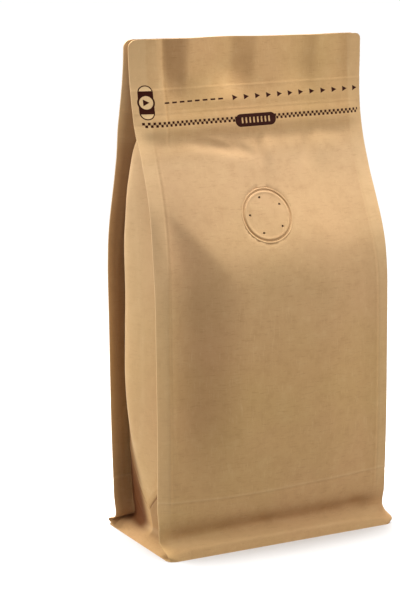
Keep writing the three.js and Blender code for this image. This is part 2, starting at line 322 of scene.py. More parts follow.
# %% Dents below the zip, and the slanting break of the left shoulder
# Each dent: middle x, z; half length, half width; turn in degrees; height.
DENTS = [(-33, 208.5, 7, 2.6, -24, -0.7), (-20, 206.2, 9, 2.6, -16, -1.5), (-9, 205.0, 6, 2.6, -30, -1.1),
         (-24, 210.6, 6, 1.8, -14, 0.7), (1.0, 205, 6.5, 2.2, 80, -1.1), (6.5, 204, 8, 2.8, 84, 1.1),
         (29.5, 203.5, 8, 3.2, 70, -0.9), (38, 203, 9, 4, 80, 0.7), (54, 206, 9, 4.5, 100, -0.5)]
BREAK_FOOT = (-25.6, 141.6)
BREAK_HEAD = (-56.6, 175.8)
BREAK_SOFTNESS = 1.4
BREAK_REACH = 6  # the flank eases in over about this distance
BREAK_STARTS = (-26, -4)  # measured along the break from its head
FLANK_STARTS = (24, 80)
# Each station: x, and how far the flank stands out (FLANK) or how much painted shade it gets
# (FLANK_SHADE).
FLANK = [[-67.5, 0], [-61, 0], [-57, -1.1], [-52, -2.2], [-47, -2.5], [-40, -2.0], [-32, -0.9],
         [-24, -0.1], [-20, 0], [67.5, 0]]
FLANK_SHADE = [[-67.5, 0], [-60.5, 0], [-57, 0.55], [-50, 0.95], [-42, 1], [-34, 0.85], [-26, 0.45],
               [-15, 0], [67.5, 0]]


def dent_relief(x, z):
    """A sum of long bells, each turned to lie along its dent."""
    total = np.zeros(np.broadcast(x, z).shape)
    for at_x, at_z, half_length, half_width, turn, height in DENTS:
        c, s = np.cos(np.radians(turn)), np.sin(np.radians(turn))
        along = (x - at_x) * c + (z - at_z) * s
        beside = (z - at_z) * c - (x - at_x) * s
        total += height * hump(along, half_length) * hump(beside, half_width)
    return total


def below_break(x, z, reach):
    """0 at the slanting break, 1 well below it, fading above the break's head and to the foot:
    1 minus e to the minus distance over reach."""
    way = np.subtract(BREAK_FOOT, BREAK_HEAD)
    way = way / np.hypot(*way)
    along = (x - BREAK_HEAD[0]) * way[0] + (z - BREAK_HEAD[1]) * way[1]
    beside = (z - BREAK_HEAD[1]) * way[0] - (x - BREAK_HEAD[0]) * way[1]
    below = np.sqrt(beside**2 + BREAK_SOFTNESS**2) / 2 - beside / 2
    ends = soft_step(*BREAK_STARTS, along) * soft_step(*FLANK_STARTS, z)
    return (1 - np.exp(-below / reach)) * ends


def break_relief(x, z):
    """The sunk flank on the lower left of the slanting break: steep at the break, then easing off."""
    return through(FLANK, x) * below_break(x, z, BREAK_REACH)


# %% Pressed seals, bottom fold and lip
SEAL_INNER_X = [[HEIGHT, 59.5], [170, 59.6], [134, 61.6], [83, 61.9], [0, 61.6]]
SEAL_STARTS, SEAL_ENDS = (12, 30), (196, 212)
FOLD_LINE_Z = [[-66, 28.5], [-20, 27.5], [30, 28.8], [66, 30]]
LIP_DIMPLES = [(-53, 9.5, 4, -0.5), (-6, 9.3, 6, -1.2), (-1, 8, 3, 0.35), (33, 10.2, 9, -0.5),
               (50, 11.2, 7, -1.3), (-30, 9.5, 8, -0.3)]   # x, z, width, height
LIP_CREST_Z, LIP_CREST_RISE = 5.2, 0.45
LIP_HOLLOW_Z, LIP_HOLLOW_DEPTH = 9.6, 1.6


def seal_relief(x, z):
    """The heat-sealed edge lies lower than the panel, behind a pressed line."""
    inner = np.abs(x) - through(SEAL_INNER_X, z)
    line = -0.28 * hump(inner, 0.55) + 0.14 * hump(inner + 1.3, 0.8)
    return (line - 0.1 * soft_step(-0.8, 0.8, inner)) * between(SEAL_STARTS, SEAL_ENDS, z)


def foot_relief(x, z):
    """The fold line of the bottom, the lip's crest, the hollow above it and its dimples."""
    line = z - through(FOLD_LINE_Z, x)
    fold = 0.16 * hump(line, 0.6) - 0.14 * hump(line + 1.4, 0.9)
    dimples = sum(height * hump(x - at_x, width) * hump(z - at_z, 3.2)
                  for at_x, at_z, width, height in LIP_DIMPLES)
    crest = LIP_CREST_RISE * hump(z - LIP_CREST_Z, 1.0) * (1 - (np.abs(x) / HALF_WIDTH) ** 4)
    hollow = -LIP_HOLLOW_DEPTH * hump(z - LIP_HOLLOW_Z, 5.2) * soft_step(4.4, 8, z)
    return fold + crest + dimples * soft_step(1, 5, z) + hollow


BODY_COCKLE = 0.34
FINE_COCKLE = 0.035
REAR_DENTS = 0.6  # the rear has the same dents, mirrored and shallower


def cockle_relief(x, z, side):
    """Soft cockle over the filled body, and a finer one all over."""
    body = between((14, 34), SEAL_ENDS, z) * (1 - soft_step(50, 60, np.abs(x)))
    soft = BODY_COCKLE * cockle(x, z, 70, 18, 14, 5 + side) * body
    return soft + FINE_COCKLE * cockle(x, z, 14, 4, 18, 9 + side) * soft_step(6, 14, z)


def panel(x, z, side):
    """y of a panel's outer face, relief and all."""
    if side < 0:
        dents = dent_relief(x, z) + break_relief(x, z)
    else:
        dents = REAR_DENTS * dent_relief(-x, z)
    relief = (header_relief(x, z) + zip_relief(x, z) + seal_relief(x, z) + foot_relief(x, z)
              + cockle_relief(x, z, side) + dents)
    return plain_panel(x, z, side) + side * relief * soft_step(0, 3, z)


zip_rise = plain_panel(0.0, ZIP_Z, -1) - panel(0.0, ZIP_Z, -1)
print(f"relief of the front at the zip: {zip_rise:.2f} mm")

# %% [markdown]
# ## The gussets
#
# Each side is a pleat that was pushed flat before filling. The fill has pressed
# it out into a rounded ridge, which folds back in towards the header. At the foot
# its two corners are sealed on the slant, so a triangular web runs from each
# corner of the base up to the side seal. Rows of points that dip along the
# slanted seals make that line crisp, which a straight grid could not.

# %% Driving sizes of the gussets
GUSSET_CREASE = [[HEIGHT, 37.5], [251, 40], [231, 50], [211, 62.5], [197, 66.7], [178, 69.5],
                 [130, 70.6], [83, CREASE_REACH], [61, 69.5], [34, 63.2], [18, 60.2]]
GUSSET_CREASE_RADIUS = 4
GUSSET_COCKLE = 0.25
GUSSET_STARTS, GUSSET_ENDS = (3, 9), (205, 225)
LEDGE_Z = 3  # the side lip is a low ledge
SIDE_LIP_Z = 8  # and it flares out from this height
SIDE_LIP_CURVE = 2.2
LEDGE_INSET = 9.5
LEDGE_DRAW_IN = 2
WEB_APEX_Z = 18  # the slanted corner seals meet here
WEB_SEAL_Z = 46  # and reach the side seals here
WEB_FADE_Z = 72
WEB_CREASE_LEVELS = (12, 24)  # a small crease in the web, from its middle to the seal
WEB_CREASE_WIDTH = 1.1
WEB_CREASE_STARTS = (0.4, 0.75)  # and the shares between which it starts


# %% The gussets' form
def gusset_height(level, share):
    """Height of a row's point: the rows dip at the crease, so that one runs along the slanted seals."""
    dipped = mix(WEB_APEX_Z, WEB_SEAL_Z, share)
    above = mix(dipped, WEB_FADE_Z, (level - WEB_SEAL_Z) / (WEB_FADE_Z - WEB_SEAL_Z))
    below = mix(LEDGE_Z, dipped, (level - LEDGE_Z) / (WEB_SEAL_Z - LEDGE_Z))
    height = np.where(level >= WEB_SEAL_Z, above, below)
    return np.where((level >= WEB_FADE_Z) | (level <= LEDGE_Z), level, height)


def gusset_reach(y, z, half_depth):
    """Distance out from the middle: a hyperbola between the crease and the seal."""
    radius = np.minimum(GUSSET_CREASE_RADIUS, half_depth * 0.15)
    arm = np.sqrt(y**2 + radius**2) - radius
    whole = np.sqrt(half_depth**2 + radius**2) - radius
    return mix(through(GUSSET_CREASE, z), SEAL_LINE, np.clip(arm / whole, 0, 1))


def web_crease(level, share):
    """The small crease in the web, from 0 beside it to 1 at its line, which bends up to the seal."""
    line = level - mix(*WEB_CREASE_LEVELS, share**2)
    return hump(line, WEB_CREASE_WIDTH) * soft_step(*WEB_CREASE_STARTS, share)


def gusset_relief(level, share, z):
    """Outwards: the slanted seal's pressed edge, a small crease in the web, and a cockle."""
    line = level - WEB_SEAL_Z
    slant = 0.35 * hump(line - 1.6, 1.3) - 0.45 * hump(line + 2.2, 1.5)
    pressed = slant - 0.55 * web_crease(level, share)
    soft = GUSSET_COCKLE * cockle(share * 30, z, 60, 16, 12, 21) * soft_step(10, 60, level)
    return pressed * soft_step(1, 0.92, share) + soft * soft_step(1, 0.8, share)


def gusset(level, share, side, sign):
    """Points of a gusset. share runs from 1 at the side seal to 0 at the crease."""
    z = gusset_height(level, share)
    seal = panel(sign * SEAL_LINE + 0 * z, z, side)
    half_depth = np.abs(seal - middle_plane(sign * SEAL_LINE, z)) - SEAL_THICKNESS
    y = share * half_depth
    seal_height = gusset_height(WEB_SEAL_Z, share)
    web = mix(HALF_WIDTH - LEDGE_INSET - LEDGE_DRAW_IN * share, gusset_reach(y, seal_height, half_depth),
              np.clip((z - LEDGE_Z) / (seal_height - LEDGE_Z), 0, 1))
    reach = np.where(level < WEB_SEAL_Z, web, gusset_reach(y, z, half_depth))
    shown = between(GUSSET_STARTS, GUSSET_ENDS, level)
    reach = reach + gusset_relief(level, share, z) * shown
    reach = mix(reach, HALF_WIDTH, (1 - np.clip(z / SIDE_LIP_Z, 0, 1)) ** SIDE_LIP_CURVE)
    floor = np.clip(1 - level / LEDGE_Z, 0, 1)
    corner_y = BASE_DEPTH / 2 - CORNER_RADIUS - CORNER_REST
    y = mix(y, share * corner_y, floor)
    return points_at(sign * reach, middle_plane(sign * reach, z) + side * y, z)


# %% [markdown]
# ## One closed skin
#
# A level of the bag is one closed line: along the front, round the edge of the
# seal, back along the seal's inner face, over the gusset, and the same again
# behind. Stacking the levels gives one skin with no seam to hide. The lines lie
# close together where the relief is fine, at the zip, the lip and the seals, and
# further apart on the smooth body, which keeps the mesh light.

# %% Lines of the grid
def graded(*stretches):
    """Joins stretches of (from, to, step) into one row of places, with no place twice."""
    rows = [np.linspace(start, end, max(1, round(abs(end - start) / step)) + 1)[:-1]
            for start, end, step in stretches]
    return np.concatenate(rows + [[stretches[-1][1]]])


LEVELS = graded((0, 3, 0.375), (3, 14, 0.55), (14, 26, 1.2), (26, 32, 0.5), (32, 41, 1.3),
                (41, 50, 0.6), (50, 196, 2.05), (196, 212, 0.9), (212, 228, 0.5), (228, 235, 0.8),
                (235, 240, 0.4), (240, 256, 1.1), (256, 261, 0.5), (261, HEIGHT, 0.2))[:, None]
FRONT_X = graded((-HALF_WIDTH, -49, 0.45), (-49, 49, 1.25), (49, HALF_WIDTH, 0.5))[None, :]
REAR_X = graded((HALF_WIDTH, 49, 0.8), (49, -49, 1.9), (-49, -HALF_WIDTH, 0.8))[None, :]
SEAL_STEPS = np.linspace(0, 1, 9)[None, :]
SHARES = graded((1, 0.9, 0.02), (0.9, 0.16, 0.06), (0.16, 0, 0.02))[None, 1:]


# %% Panels and the free edges of the seals
def on_rounded_corner(turn):
    """x and y on the base's rounded corner: turn 0 faces the panel, 1 faces the gusset."""
    angle = np.clip(turn, 0, 1) * np.pi / 2
    inner_x, inner_y = HALF_WIDTH - CORNER_RADIUS, BASE_DEPTH / 2 - CORNER_RADIUS
    return inner_x + CORNER_RADIUS * np.sin(angle), inner_y + CORNER_RADIUS * np.cos(angle)


def squeezed(x, z):
    """Draws the panel's edge in, so that the top corners are round."""
    radius = np.where(x < 0, *TOP_CORNER_RADII)
    up = np.clip(z - (HEIGHT - radius), 0, radius)
    drawn = radius - np.sqrt(radius**2 - up**2)
    beyond = np.maximum(np.abs(x) - SEAL_LINE, 0)
    return x - np.sign(x) * beyond * drawn / SEAL_WIDTH


def panel_skin(x, z, side):
    """Points of a panel's outer face, rounded at the base corners."""
    across = squeezed(x, z)
    y = panel(across, z, side)
    floor = 1 - soft_step(0, LEDGE_Z, z)
    turn = np.clip((np.abs(x) - HALF_WIDTH + CORNER_RADIUS) / CORNER_RADIUS, 0, 1) / 2
    corner_x, corner_y = on_rounded_corner(turn)
    in_corner = floor * (turn > 0)
    return points_at(mix(across, np.sign(x) * corner_x, in_corner), mix(y, side * corner_y, in_corner), z)


def seal_skin(step, z, side, sign):
    """Points of a seal's inner face: step 0 is its free edge and 1 the root of the gusset."""
    station = HALF_WIDTH - SEAL_WIDTH * step
    across = squeezed(sign * station, z)
    y = panel(across, z, side) - side * SEAL_THICKNESS
    floor = 1 - soft_step(0, LEDGE_Z, z)
    corner_x, corner_y = on_rounded_corner(0.5 + step)
    corner_y = corner_y - CORNER_REST * np.clip(2 * step - 1, 0, 1)
    return points_at(mix(across, sign * corner_x, floor), mix(y, side * corner_y, floor), z)


# %% Join the strips and close them into a mesh
def side_strips(sign):
    """One side, from the front to the rear: a seal's inner face, the gusset, the other seal's."""
    return np.concatenate([
        seal_skin(SEAL_STEPS, LEVELS, -1, sign), gusset(LEVELS, SHARES, -1, sign),
        gusset(LEVELS, SHARES[:, :-1], 1, sign)[:, ::-1],
        seal_skin(SEAL_STEPS, LEVELS, 1, sign)[:, ::-1]], axis=1)


def bag_skin():
    """All strips side by side: one row of the array is one closed line round the bag."""
    return np.concatenate([panel_skin(FRONT_X, LEVELS, -1), side_strips(1),
                           panel_skin(REAR_X, LEVELS, 1), side_strips(-1)[:, ::-1]], axis=1)


def with_hanging_edge(points):
    """Lowers the loose top edge towards the right, which hangs a little."""
    hung = points.copy()
    across = soft_step(*DROP_STARTS_X, points[..., 0])
    hung[..., 2] -= TOP_EDGE_DROP * across * soft_step(DROP_STARTS_Z, HEIGHT, points[..., 2])
    return hung


def closed_faces(rows, count):
    """Quads between neighbouring rings of a stack, and one face over the ring at each end."""
    row, i = np.meshgrid(np.arange(rows - 1), np.arange(count), indexing="ij")
    j = (i + 1) % count
    a, b = row * count + i, row * count + j
    quads = np.stack([a, b, b + count, a + count], axis=-1).reshape(-1, 4).tolist()
    last = (rows - 1) * count
    return quads + [list(range(count))[::-1], list(range(last, last + count))]


SHARP_ANGLE = np.radians(38)


def new_object(name, data):
    """An object that shows the data, linked to the scene."""
    made = bpy.data.objects.new(name, data)
    bpy.context.scene.collection.objects.link(made)
    return made


def make_piece(name, points, faces, material):
    """A smooth-shaded object from points in millimetres; only true edges stay sharp."""
    mesh = bpy.data.meshes.new(name)
    mesh.from_pydata(points.reshape(-1, 3) * MM, [], faces)
    mesh.shade_smooth()
    mesh.set_sharp_from_angle(angle=SHARP_ANGLE)
    mesh.materials.append(material)
    mesh.validate()
    mesh.calc_loop_triangles()
    print(f"{name}: {len(mesh.vertices)} points, {len(mesh.loop_triangles)} triangles")
    return new_object(name, mesh)


# %% The seat of the valve
PRESS_RADIUS = VALVE_RADIUS + 0.9
SEAT_DEPTH = 1.6
SLOPE_SPAN = 12.0  # the panel's slope at the valve is measured over this height

front_below, front_above = (panel(VALVE_X, VALVE_Z + way * SLOPE_SPAN / 2, -1) for way in (-1, 1))
SLOPE_LENGTH = np.hypot(1, (front_above - front_below) / SLOPE_SPAN)
print(f"along the paper the valve is {SLOPE_LENGTH:.4f} times as long as it is high")


def valve_distance(points):
    """Distance from the valve's middle, measured on the sloping paper."""
    return np.hypot(points[..., 0] - VALVE_X, (points[..., 2] - VALVE_Z) * SLOPE_LENGTH)


def on_front_strip(points):
    """True at the points of the front panel, which is the first strip of the skin."""
    return np.broadcast_to(np.arange(points.shape[1]) < FRONT_X.size, points.shape[:2])


def with_valve_seat(points):
    """Lowers the front inside the valve's pressed round, which is a piece of its own."""
    inside = soft_step(PRESS_RADIUS - 0.3, PRESS_RADIUS - 1.6, valve_distance(points))
    sunk = points.copy()
    sunk[..., 1] += np.where(on_front_strip(points), SEAT_DEPTH * inside, 0)
    return sunk


# %% [markdown]
# ## The valve's pressed round
#
# The one-way valve is welded to the inside of the paper. From outside only the
# weld shows, as a round groove between two soft rims, and the five pin pricks
# that let the gas out. A polar grid fits a round thing: its rings follow the
# groove, so the groove stays crisp with few faces.

# %% Sizes and surface of the pressed round
GROOVE_RADIUS = VALVE_RADIUS - 0.4
PIN_COUNT = 5
PIN_RING_RADIUS = 10
PIN_FIRST_ANGLE = 104
PIN_RADIUS, PIN_DEPTH = 0.55, 1.0
GROOVE_DEPTH = 0.75
RIM_OFFSET = 1.1  # a soft rim on each side of the groove
PATCH_PROUD = 0.05  # keeps the patch just clear of the panel under it
PATCH_DEPTH = 1.1
SPOKES = 240


def pin_distance(radius, angle):
    """Distance to the nearest pin prick."""
    pin_angles = np.radians(PIN_FIRST_ANGLE + 360 / PIN_COUNT * np.arange(PIN_COUNT))
    dx = radius * np.cos(angle) - PIN_RING_RADIUS * np.cos(pin_angles[:, None, None])
    dz = radius * np.sin(angle) - PIN_RING_RADIUS * np.sin(pin_angles[:, None, None])
    return np.hypot(dx, dz).min(axis=0)


def round_relief(radius, angle):
    """Outwards: the groove between its two soft rims, less the pin pricks."""
    line = radius - GROOVE_RADIUS
    groove = -GROOVE_DEPTH * hump(line, 0.5)
    rims = 0.22 * hump(line - RIM_OFFSET, 0.7) + 0.2 * hump(line + RIM_OFFSET, 0.8)
    pins = -PIN_DEPTH * soft_step(PIN_RADIUS * 1.15, PIN_RADIUS * 0.6, pin_distance(radius, angle))
    return (groove + rims) * soft_step(PRESS_RADIUS, PRESS_RADIUS - 0.6, radius) + pins


def on_front(radius, angle, outwards):
    """Points on the front panel by distance and angle from the valve's middle."""
    x = VALVE_X + radius * np.cos(angle)
    z = VALVE_Z + radius * np.sin(angle) / SLOPE_LENGTH
    return points_at(x, panel(x, z, -1) - outwards, z)


def pressed_round():
    """Points and faces of the round: a front of fine rings, a rim and a plain back."""
    radii = graded((0.3, 8.6, 0.9), (8.6, 11.4, 0.22), (11.4, PRESS_RADIUS, 0.16))[:, None]
    angles = np.linspace(0, 2 * np.pi, SPOKES, endpoint=False)[None, :]
    front = on_front(radii, angles, PATCH_PROUD + round_relief(radii, angles))
    back_radii = np.array([PRESS_RADIUS, PRESS_RADIUS - 1.5, 6, 0.3])[:, None]
    back_depth = np.array([0.45, PATCH_DEPTH, PATCH_DEPTH, PATCH_DEPTH])[:, None]
    back = on_front(back_radii, angles, -back_depth)
    rings = np.concatenate([front, back])
    faces = [face[::-1] for face in closed_faces(len(rings), SPOKES)]
    return rings, faces, pin_distance(radii, angles), len(front)


# %% [markdown]
# ## Writing shaders as sums
#
# A material is a graph of nodes, and a graph is tiresome to wire by hand. The
# class below wraps one socket, so that `1 - mask` or `noise * 0.3` adds the Math
# node it needs, and `a | b` is the larger of two masks. Every other node comes
# from `node`, which takes its type, its settings and what goes into its sockets.

# %% A socket that does arithmetic
EDGE = 0.12  # softness of a mask's edge, in millimetres


class Signal:
    """One output socket of a node, which adds, subtracts, multiplies and compares like a number."""

    def __init__(self, finish, socket):
        self.finish = finish
        self.socket = socket

    def math(self, operation, *others, clamp=False):
        """A Math node on this value and the others."""
        values = dict(enumerate((self,) + others))
        return self.finish.node("ShaderNodeMath", {"operation": operation, "use_clamp": clamp}, values)

    def __add__(self, other):
        return self.math("ADD", other)

    def __sub__(self, other):
        return self.math("SUBTRACT", other)

    def __rsub__(self, other):
        return self.finish.node("ShaderNodeMath", {"operation": "SUBTRACT"}, {0: other, 1: self})

    def __mul__(self, other):
        return self.math("MULTIPLY", other)

    __radd__ = __add__
    __rmul__ = __mul__

    def __truediv__(self, other):
        return self.math("DIVIDE", other)

    def __abs__(self):
        return self.math("ABSOLUTE")

    def clipped(self):
        """The value held between 0 and 1."""
        return self.math("ADD", 0.0, clamp=True)

    def fraction(self):
        """What is left above the next lower whole number."""
        return self.math("FRACT")

    def __or__(self, other):
        """The larger of two masks."""
        return self.math("MAXIMUM", other)

    def rising(self, low, high):
        """0 up to low and 1 from high on, with a straight line between."""
        return ((self - low) / (high - low)).clipped()

    def over(self, edge, gain):
        """How far the value is over the edge, times the gain, held between 0 and 1."""
        return ((self - edge) * gain).clipped()

    def below(self, edge, softness=EDGE):
        """1 where the value is under the edge, 0 over it, with a soft change between."""
        return ((edge - self) / softness + 0.5).clipped()

    def within(self, low, high):
        """1 between low and high, with soft ends."""
        return self.below(high) * (1 - self.below(low))


class Finish:
    """A material and its node tree."""

    def __init__(self, name):
        self.material = bpy.data.materials.new(name)
        self.material.use_nodes = True
        self.tree = self.material.node_tree
        self.tree.nodes.clear()

    def node(self, kind, settings=None, sockets=None, output=0):
        """Adds a node: its settings first, then a value or a Signal for each named socket."""
        made = self.tree.nodes.new(kind)
        for name, value in (settings or {}).items():
            setattr(made, name, value)
        for name, value in (sockets or {}).items():
            if isinstance(value, Signal):
                self.tree.links.new(value.socket, made.inputs[name])
            else:
                made.inputs[name].default_value = value
        return Signal(self, made.outputs[output]) if made.outputs else None

    def surface(self, sockets):
        """The Principled shader with these sockets, as the material's surface."""
        shader = self.node("ShaderNodeBsdfPrincipled", {}, sockets)
        self.node("ShaderNodeOutputMaterial", {}, {"Surface": shader})

    def attribute(self, name):
        """A number that the mesh stores for each of its points."""
        return self.node("ShaderNodeAttribute", {"attribute_name": name}, output="Fac")

    def blend(self, a, b, share, mode="MIX"):
        """Colour a where share is 0 and b where it is 1."""
        settings = {"data_type": "RGBA", "blend_type": mode}
        return self.node("ShaderNodeMix", settings, {0: share, 6: a, 7: b}, output=2)

    def noise(self, at, scale, detail=2.0, roughness=0.5):
        """Cloudy noise from about 0 to 1, at a scale in patches for each millimetre."""
        return self.node("ShaderNodeTexNoise", {}, {"Vector": at, "Scale": scale, "Detail": detail,
                                                    "Roughness": roughness})


# %% [markdown]
# ## Kraft paper
#
# Kraft is unbleached pulp: a warm brown made of long fibres that lie mostly one
# way, with flecks of darker bark and paler strands. Close to, it is a mottle; a
# little further off, faint streaks. Its colour could be one flat brown, but the
# eye reads that as plastic. Here noise at several scales shifts the brown, a
# painted highlight makes the shoulders paler, and fine noise also lifts the
# surface as bump, because fibres are far too small for the mesh. The paper is
# matt, with hardly any sheen.

# %% Colours of the paper and the ink
def rgb(red, green, blue):
    """A colour as a screen shows it, 0 to 255, turned into the linear values that a shader needs."""
    share = np.array([red, green, blue]) / 255
    linear = np.where(share <= 0.04045, share / 12.92, ((share + 0.055) / 1.055) ** 2.4)
    return (*linear.tolist(), 1.0)


KRAFT_OLIVE = rgb(196, 158, 106)
KRAFT_ROSY = rgb(200, 157, 110)
KRAFT_HIGHLIGHT = rgb(204, 169, 130)
FIBRE_DARK = rgb(156, 115, 70)
FIBRE_PALE = rgb(223, 190, 142)
INK = rgb(50, 14, 3)
DEEP_TONE = (0.2, 0.09, 0.04, 1)  # the share of each primary that full shade leaves
# A painted highlight over the shoulders: it rises over the first heights and fades over the second.
SHOULDER_HIGHLIGHT_RISES = (90, 200)
SHOULDER_HIGHLIGHT_FADES = (200, 222)
SHOULDER_HIGHLIGHT = 0.65


# %% Where a pattern is: object coordinates in millimetres
class Place:
    """A point of the piece in millimetres, and its x and z, as Signals."""

    def __init__(self, finish):
        self.finish = finish
        coordinates = finish.node("ShaderNodeTexCoord", output="Object")
        self.point = finish.node("ShaderNodeVectorMath", {"operation": "SCALE"},
                                 {0: coordinates, "Scale": 1 / MM})
        self.x, self.z = (finish.node("ShaderNodeSeparateXYZ", {}, {0: self.point}, output=axis)
                          for axis in "XZ")

    def stretched(self, *scales):
        """The same place with each axis scaled, which draws a pattern out into streaks."""
        return self.finish.node("ShaderNodeVectorMath", {"operation": "MULTIPLY"},
                                {0: self.point, 1: scales})


# %% The paper's colour and grain
def kraft_colour(finish, place):
    """Slow drift between two browns, then a painted highlight on the shoulders, mottle, streaks and
    single fibres.
    """
    drift = finish.noise(place.point, 0.018)
    # A painted highlight over the shoulders.
    shoulder_highlight = place.z.rising(*SHOULDER_HIGHLIGHT_RISES) * (1 - place.z.rising(*SHOULDER_HIGHLIGHT_FADES))
    mottle = finish.noise(place.point, 0.16, 4.0, 0.62)
    level_fibres = finish.noise(place.stretched(0.35, 0.35, 2.6), 0.55, 3.0, 0.7)
    upright_fibres = finish.noise(place.stretched(2.8, 2.8, 0.3), 0.5, 3.0, 0.7)
    colour = KRAFT_OLIVE
    for tone, share in [(KRAFT_ROSY, drift.over(0.3, gain=2.4)),
                        (KRAFT_HIGHLIGHT, shoulder_highlight * SHOULDER_HIGHLIGHT),
                        (FIBRE_DARK, mottle.over(0.52, gain=0.9)),
                        (FIBRE_PALE, ((0.47 - mottle) * 0.8).clipped()),
                        (FIBRE_DARK, level_fibres.over(0.55, gain=1.6)),
                        (FIBRE_PALE, upright_fibres.over(0.57, gain=1.7))]:
        colour = finish.blend(colour, tone, share)
    return colour


def kraft_grain(finish, place):
    """Height of the paper's felt, for a bump: fine fibres over a coarser formation."""
    fine = finish.noise(place.stretched(1.0, 1.0, 1.7), 1.7, 3.0, 0.6)
    coarse = finish.noise(place.point, 0.42, 3.0, 0.55)
    return fine * 0.5 + coarse


# %% [markdown]
# ## The printed tear line
#
# The front carries one line of print in a single brown ink: a checker band over
# the zip, a row of arrowheads along the tear tape, and the tab that starts the
# tear. A real press lays it on the flat sheet, so it is drawn here as masks of x
# and z, and an attribute keeps it off every face but the front. The places where
# such a bag has words hold plain dashes and bars instead.

# %% Sizes of the print
CHECK_Z = ZIP_Z + 0.65
CHECK_PITCH = 2.62  # two squares
CHECK_HALF_HEIGHT = 1.3
CHECK_LEFT, CHECK_RIGHT = -64.0, 65.3
BADGE_X, BADGE_Z = 0.75, ZIP_Z - 0.25
BADGE_HALF_LENGTH, BADGE_RADIUS = 12.25, 3.25
BAR_PITCH, BAR_HALF_HEIGHT, BARS_HALF_LENGTH = 2.3, 1.45, 9.2
ARROW_FIRST_X, ARROW_PITCH, ARROW_COUNT = -11.7, 6.745, 12
ARROW_LENGTH, ARROW_HALF_HEIGHT = 3.0, 1.4
ARROW_Z, ARROW_CLIMB = 231.3, 0.0189
DASH_LEFT, DASH_RIGHT, DASH_PITCH = -51.5, -15.5, 4.5
DASH_Z, DASH_HALF_HEIGHT, DASH_SHARE = ARROW_Z - 0.1, 0.42, 0.62
TAB_X, TAB_Z = -60.9, 230.8
TAB_HALF_LENGTH, TAB_RADIUS = 8.6, 3.7
TAB_LINE, COLLAR_HALF_LENGTH = 0.55, 5.7
RING_RADIUS, DISC_RADIUS = 4.2, 3.3
MARK_HALF_LENGTH, MARK_FLARE = 1.5, 0.55


# %% Print masks
def rounded_bar(s, t, half_length, radius):
    """Distance outside a bar with round ends that lies along s, less than 0 inside it."""
    beyond = abs(s) - (half_length - radius) | 0.0
    return (beyond * beyond + t * t).math("SQRT") - radius


def checker_mask(place):
    """Two rows of squares: dark where the sign of the column and of the row agree."""
    up = place.z - CHECK_Z - place.x * ZIP_CLIMB
    column = ((place.x - CHECK_LEFT) / CHECK_PITCH).fraction() - 0.5
    squares = (column * up).below(0.0, 0.05)
    band = abs(up).below(CHECK_HALF_HEIGHT)
    return squares * band * place.x.within(CHECK_LEFT, CHECK_RIGHT)


def badge_masks(place):
    """The round-ended badge in the middle of the zip, and the pale bars in it."""
    along = place.x - BADGE_X
    up = place.z - BADGE_Z - place.x * ZIP_CLIMB
    shape = rounded_bar(along, up, BADGE_HALF_LENGTH, BADGE_RADIUS)
    bar = abs((along / BAR_PITCH).fraction() - 0.5).below(0.2, 0.06)
    bar = bar * abs(up).below(BAR_HALF_HEIGHT)
    return shape.below(0.0), bar * abs(along).below(BARS_HALF_LENGTH)


def arrow_mask(place):
    """Arrowheads at an even pitch, each narrowing to its point."""
    along = ((place.x - ARROW_FIRST_X) / ARROW_PITCH).fraction() * ARROW_PITCH
    up = place.z - ARROW_Z - place.x * ARROW_CLIMB
    half_height = (1 - along / ARROW_LENGTH) * ARROW_HALF_HEIGHT
    head = (abs(up) - half_height).below(0.0) * along.below(ARROW_LENGTH)
    row_end = ARROW_FIRST_X + ARROW_PITCH * ARROW_COUNT
    return head * place.x.within(ARROW_FIRST_X, row_end)


def dash_mask(place):
    """Short dashes that lead from the tab to the arrowheads."""
    along = ((place.x - DASH_LEFT) / DASH_PITCH).fraction()
    up = place.z - DASH_Z - place.x * ARROW_CLIMB
    dash = along.below(DASH_SHARE, 0.03) * abs(up).below(DASH_HALF_HEIGHT)
    return dash * place.x.within(DASH_LEFT, DASH_RIGHT)


def tab_masks(place):
    """The pull tab's outline and dark collar, its pale ends, and the disc with an arrowhead."""
    up, along = place.z - TAB_Z, place.x - TAB_X
    shape = rounded_bar(up, along, TAB_HALF_LENGTH, TAB_RADIUS)
    inside = shape.below(0.0)
    outline = inside * (1 - shape.below(-TAB_LINE))
    collar = inside * abs(up).below(COLLAR_HALF_LENGTH)
    from_middle = (up * up + along * along).math("SQRT")
    ring = from_middle.below(RING_RADIUS)
    disc = from_middle.below(DISC_RADIUS)
    mark = (abs(up) - (MARK_HALF_LENGTH - along) * MARK_FLARE).below(0.0)
    mark = mark * along.within(-MARK_HALF_LENGTH, MARK_HALF_LENGTH)
    dark = outline | collar | ring
    return dark * (1 - disc) + disc * mark, inside * (1 - dark) + disc * (1 - mark)


def print_masks(place):
    """All the ink, and the places inside it that stay pale."""
    badge, bars = badge_masks(place)
    tab_ink, tab_pale = tab_masks(place)
    ink = checker_mask(place) | badge | arrow_mask(place) | dash_mask(place) | tab_ink
    return ink * (1 - bars * badge), tab_pale


# %% The finished paper
WEAR_AND_HIGHLIGHT_PALENESS = 0.55
INK_COVER, INK_SPECKLE = 1.16, 0.25
TAB_PALENESS = 0.75
FELT_HEIGHT = 0.12 * MM


